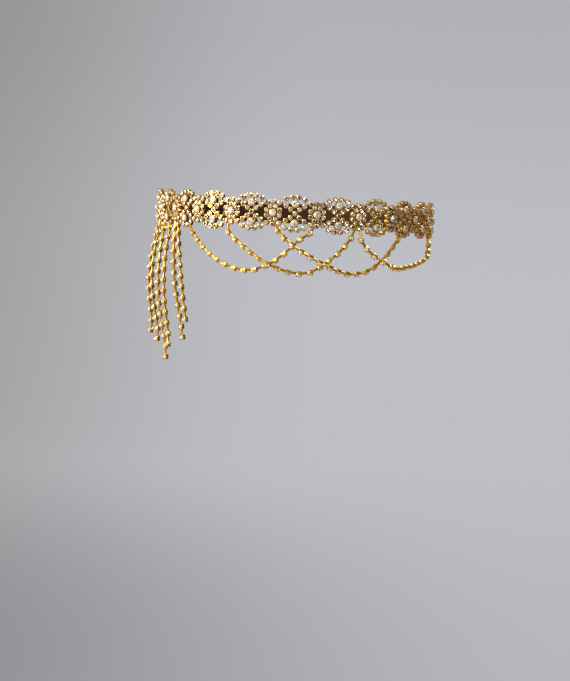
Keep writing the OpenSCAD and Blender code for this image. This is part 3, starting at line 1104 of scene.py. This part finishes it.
def backPoint(turn, out):
    # A point behind the front arc, by its heading: on a side arc or on the back arc
    way = 1 if turn <= pi else -1
    onSide = abs(pi - turn) > frontTurn
    middle = Vector((-way * sideShift, 0, 0)) if onSide else Vector((0, frontMiddle, 0))
    radius = sideRadius if onSide else loop["frontRadius"]
    return middle + Vector((sin(turn), -cos(turn), 0)) * (radius + out)


strapStart = heading(stackAt(trim["repeats"]) + trim["caps"][1][0] + trim["smallRadius"] - strap["lap"])
strapOut = -strap["gap"] - strap["thick"] / 2


def makeStrapLine():
    count = strap["linePoints"]
    turns = [strapStart + (2 * pi - 2 * strapStart) * i / count for i in range(count + 1)]
    points = [backPoint(turn, strapOut) for turn in turns]
    line = bpy.data.curves.new("strapLine", "CURVE")
    line.dimensions, line.twist_mode = "3D", "Z_UP"
    spline = line.splines.new("POLY")
    spline.points.add(len(points) - 1)
    for target, point in zip(spline.points, points):
        target.co = (*point, 1)
    holder = bpy.data.objects.new("strapLine", line)
    bpy.context.collection.objects.link(holder)
    length = sum((q - p).length for p, q in zip(points, points[1:]))
    return holder, length


def makeStrap():
    holder, length = makeStrapLine()
    rows = strap["ribs"] * 2
    wide = strap["high"] - strap["narrower"]
    bpy.ops.object.select_all(action="DESELECT")
    bpy.ops.mesh.primitive_grid_add(x_subdivisions=strap["lengthSteps"], y_subdivisions=rows, size=1)
    band = namedShape("elasticStrap")
    bpy.ops.transform.translate(value=(0.5, 0, 0))
    bpy.ops.object.transform_apply()
    bpy.ops.transform.resize(value=(length, wide, 1), center_override=(0, 0, 0))
    bpy.ops.object.transform_apply()
    for spot in band.data.uv_layers.active.data:
        spot.uv = (spot.uv[0] * length, spot.uv[1] * strap["high"])
    startEdit(band)
    bpy.ops.mesh.select_mode(type="VERT")
    cage = bmesh.from_edit_mesh(band.data)
    for point in cage.verts:
        row = round((point.co.y / wide + 0.5) * rows)
        point.select_set(row % 2 == 1)
    bmesh.update_edit_mesh(band.data)
    bpy.ops.transform.translate(value=(0, 0, strap["ribRise"]))  # each rib is a warp cord
    endEdit()
    band.rotation_euler = (pi / 2, 0, 0)
    selectOnly(band)
    bpy.ops.object.transform_apply()
    wall = band.modifiers.new("wall", "SOLIDIFY")
    wall.thickness, wall.offset, wall.use_even_offset = strap["thick"] - 2 * strap["ribRise"], 0, False
    bend = band.modifiers.new("bend", "CURVE")
    bend.object, bend.deform_axis = holder, "POS_X"
    selectOnly(band)
    for step in ("wall", "bend"):
        bpy.ops.object.modifier_apply(modifier=step)
    band.data.transform(Matrix.Scale(mm, 4))
    bpy.data.objects.remove(holder)
    smoothShape(band, gentle)
    finished(band, strapWeave, "strap_weave", "strap")


thread = {
    "rows": (2.2, 3.6),  # from each end of the strap
    "stitches": 9,
    "edgeGap": 1,  # from the strap's edges to the middles of the last stitches
    "sides": 8,
    "radius": 0.16,
    "length": 0.7,
    "tips": ((0.2, 0.75), (0.12, 0.45)),  # length and taper of each step of the domed ends
    "lean": 0.35,
}


def makeStitch():
    # One thread over the strap: a long capsule along Z with domed ends
    bpy.ops.mesh.primitive_cylinder_add(
        vertices=thread["sides"], radius=thread["radius"], depth=thread["length"]
    )
    stitch = newShape("stitch")
    startEdit(stitch)
    for way in (-1, 1):
        pickFaces(stitch, lambda middle, normal: normal.z * way > facing)
        for step, share in thread["tips"]:
            extrudeBy(0, 0, step * way)
            scaleFlat(share)
    endEdit()
    smoothShape(stitch, gentle)
    return stitch


def makeStitches():
    stitch = makeStitch()
    parts = []
    reach = strap["high"] / 2 - thread["edgeGap"]
    for way in (-1, 1):
        for row, inset in enumerate(thread["rows"]):
            turn = strapStart + inset / sideRadius
            for side in (0, -strap["thick"]):
                point = backPoint(turn, -strap["gap"] + side)
                across = Vector((sin(turn) * way, -cos(turn), 0))
                lean = Vector((0, 0, 1)).cross(across) * thread["lean"] * (1 if row else -1)
                z = (Vector((0, 0, 1)) + lean).normalized()
                for i in range(thread["stitches"]):
                    up = -reach + 2 * reach * i / (thread["stitches"] - 1)
                    spot = Vector((point.x * way, point.y, up))
                    parts.append(copyTo(stitch, axesAt(spot, across, z.cross(across), z)))
    bpy.data.objects.remove(stitch)
    finished(joined(parts, "strapStitches"), strapWeave, "strap_weave")


makeStrap()
makeStitches()
print("strap made")

# The CAD nodes under the pieces get the same finishes, by how their names start

nodeFinishes = {
    "trim": trimGold, "swag_stones": paleStone, "tassel_stones": paleStone, "swag": chainGold,
    "tassel": chainGold, "strap": strapWeave, "": clearStone,
}
for name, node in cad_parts.items():
    paint(node, next(finish for start, finish in nodeFinishes.items() if name.startswith(start)))

# Stage: a pale floor that curves up into a wall all round, and glows with painted light

stage = {
    "floorAt": -0.3,
    "wallRadius": 3.0,
    "wallHigh": 3.2,
    "sides": 96,
    "coveRadius": 0.9,
    "coveSteps": 10,
    # across, upwards, nearAcross and backwards: from and to, in metres, where the painted light changes
    "across": (-0.6, 0.05),
    "leftTone": (0.34, 0.335, 0.33, 1),
    "rightTone": (0.515, 0.52, 0.555, 1),
    "upwards": (-0.1, 0.35),
    "highShare": 0.86,
    "nearAcross": (-0.25, 0.25),
    "nearLeft": 0.62,
    "nearRight": 0.92,
    "backwards": (0.1, 1.9),
    "grainScale": 60,
    "grainDetail": 4,
}


def makeBackdropFinish():
    # Painted light: the backdrop glows, its tone runs from left to right, and painted shade darkens it
    # upwards and towards the front of the floor
    material, tree, shader = startMaterial("backdropPaintedLight")
    place = addNode(tree, "TexCoord").outputs["Object"]
    flat = addNode(tree, "SeparateXYZ", {0: place}).outputs
    across = addRange(tree, flat[0], *stage["across"])
    tone = addMix(tree, across, stage["leftTone"], stage["rightTone"])
    high = addRange(tree, flat[2], *stage["upwards"], 1.0, stage["highShare"])
    nearest = addRange(tree, flat[0], *stage["nearAcross"], stage["nearLeft"], stage["nearRight"])
    near = addRange(tree, flat[1], *stage["backwards"], nearest, 1.0)
    lit = addProduct(tree, tone, addMath(tree, "MULTIPLY", high, near))
    feed(tree, shader, {"Emission Color": lit, **plain["glowingBackdrop"]})
    grain = addNoise(tree, place, stage["grainScale"], stage["grainDetail"])
    addBump(tree, shader, grain, *bumps["glowingBackdrop"])
    # Seen from outside the wall is clear, so a low or high view isn't blocked
    back = addNode(tree, "NewGeometry").outputs["Backfacing"]
    clear = addNode(tree, "BsdfTransparent").outputs[0]
    both = addNode(tree, "MixShader", {0: back, 1: shader.outputs[0], 2: clear}).outputs[0]
    feed(tree, tree.nodes["Material Output"], {"Surface": both})
    return material


def makeStage():
    bpy.ops.object.select_all(action="DESELECT")
    bpy.ops.mesh.primitive_cylinder_add(
        vertices=stage["sides"], radius=stage["wallRadius"], depth=stage["wallHigh"],
        location=(0, 0, stage["floorAt"] + stage["wallHigh"] / 2),
    )
    room = newShape("backdrop")
    startEdit(room)
    pickFaces(room, lambda middle, normal: normal.z < -facing)
    bpy.ops.mesh.bevel(offset=stage["coveRadius"], segments=stage["coveSteps"])
    bpy.ops.mesh.select_all(action="SELECT")
    bpy.ops.mesh.flip_normals()
    endEdit()
    smoothShape(room, gentle)
    room.data.materials.append(makeBackdropFinish())
    room.visible_diffuse = room.visible_glossy = room.visible_shadow = False
    room.visible_transmission = False


makeStage()
print("stage made")

# Light: a soft key and a tall side lamp at the left, a small fill at the right, a lamp behind at the
# right, and a room of light and dark round them

lamps = {
    # place, width, height, power, colour
    "keyLight": ((-1.7, -2.2, 1.9), 0.9, 0.9, 50, (1.0, 0.96, 0.88)),
    "sideLight": ((-2.6, -0.4, 0.6), 0.35, 1.4, 44, (1.0, 0.96, 0.88)),
    "fillLight": ((2.2, -2.0, 0.8), 0.3, 0.4, 30, (1.0, 0.97, 0.92)),
    "backLight": ((1.2, 2.4, 1.6), 1.2, 1.2, 45, (1.0, 0.96, 0.9)),
}
surround = {
    "high": (1.0, 0.99, 0.97, 1),
    "level": (0.72, 0.70, 0.67, 1),
    "low": (0.85, 0.76, 0.64, 1),
    "lowToLevel": (-0.7, 0.05),  # from and to, up or across
    "levelToHigh": (0.05, 0.8),
    "right": (0.12, 0.10, 0.08, 1),
    "front": (0.63, 0.58, 0.48, 1),
    "rightToFront": (0.8, -0.1),
    "left": 2.1,  # times as bright
    "toLeft": (-0.3, -1.0),
    "strength": 0.85,
}


def makeLamp(name, place, width, height, power, color):
    bpy.ops.object.light_add(type="AREA", location=place)
    lamp = bpy.context.object
    lamp.name = name
    lamp.data.shape, lamp.data.size, lamp.data.size_y = "RECTANGLE", width, height
    lamp.data.energy, lamp.data.color = power, color
    lamp.rotation_euler = (-Vector(place)).to_track_quat("-Z", "Y").to_euler()
    lamp.visible_camera = False


def makeRoomLight():
    world = bpy.data.worlds.new("room")
    bpy.context.scene.world = world
    world.use_nodes = True
    tree = world.node_tree
    way = addNode(tree, "TexCoord").outputs["Generated"]
    flat = addNode(tree, "SeparateXYZ", {0: way}).outputs
    up = addRange(tree, flat[2], *surround["lowToLevel"])
    lower = addMix(tree, up, surround["low"], surround["level"])
    whole = addMix(tree, addRange(tree, flat[2], *surround["levelToHigh"]), lower, surround["high"])
    # Dark at the right, dimmer in front and brightest at the far left
    across = addRange(tree, flat[0], *surround["rightToFront"])
    front = addMix(tree, across, surround["right"], surround["front"])
    left = addRange(tree, flat[0], *surround["toLeft"], 1.0, surround["left"])
    lit = addProduct(tree, whole, addProduct(tree, front, left))
    feed(tree, tree.nodes["Background"], {"Color": lit, "Strength": surround["strength"]})


for name, lamp in lamps.items():
    makeLamp(name, *lamp)
makeRoomLight()
bpy.context.scene.view_settings.view_transform = "Standard"
print("lights made")
